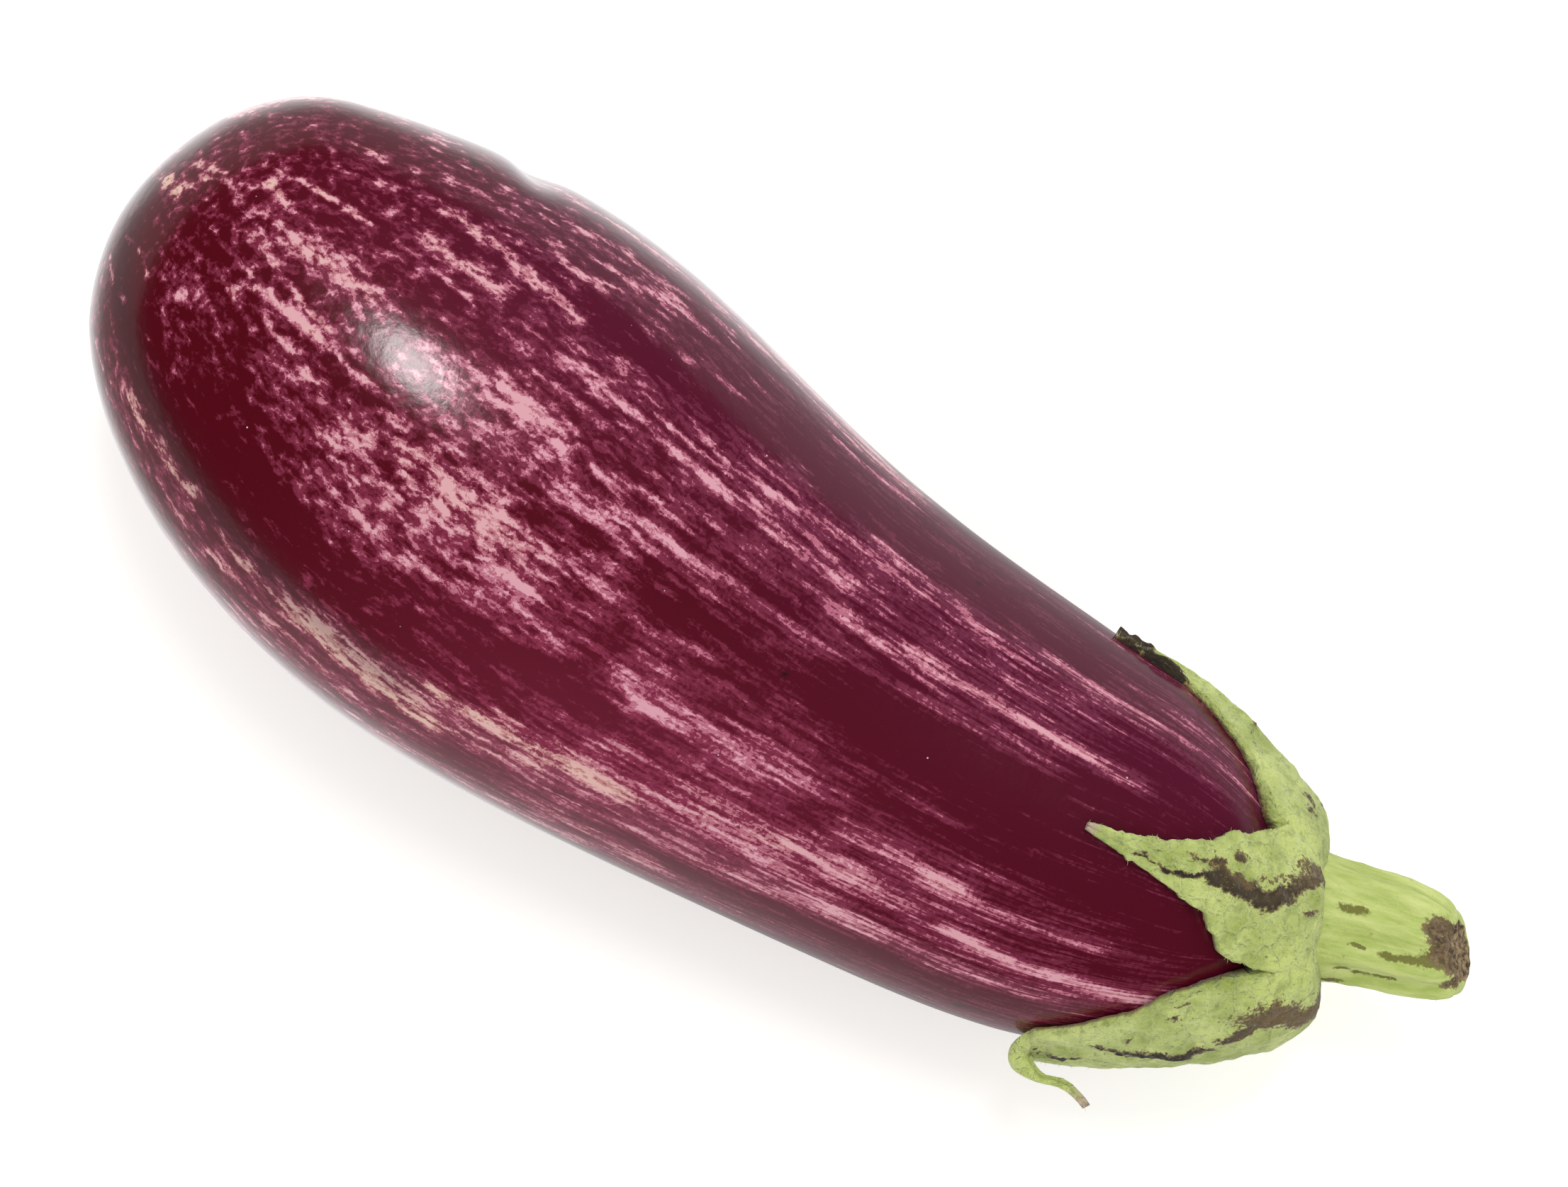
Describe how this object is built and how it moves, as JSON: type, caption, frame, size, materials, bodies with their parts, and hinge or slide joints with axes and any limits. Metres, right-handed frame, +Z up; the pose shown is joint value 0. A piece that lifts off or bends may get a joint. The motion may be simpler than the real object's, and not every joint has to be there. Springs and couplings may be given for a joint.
{
  "type": "eggplant",
  "caption": "Striped purple eggplant lying on its side: a bent pear-shaped glossy fruit with a jagged lobed green calyx and a short ribbed cut stem.",
  "frame": {"origin": "bottom centre of the whole part's box, on the surface that the fruit lies on", "axes": "+X from the blossom end to the stem, +Y towards the hollow side of the bend, +Z up"},
  "size_m": [0.2012, 0.0754, 0.071],
  "materials": {
    "fruit_skin": "smooth waxy eggplant skin, dark wine red to purple, broken by pink and cream streaks along the fruit",
    "calyx_green": "thick leathery sage green lobes, felted and matt, with brown scars along the middle ribs",
    "stem_green": "ribbed yellow green stalk with olive brown blotches and a dried corky cut end"
  },
  "bodies": {
    "root": {"fruit": "fruit_skin", "calyx": "calyx_green", "stem": "stem_green"}
  },
  "joints": []
}
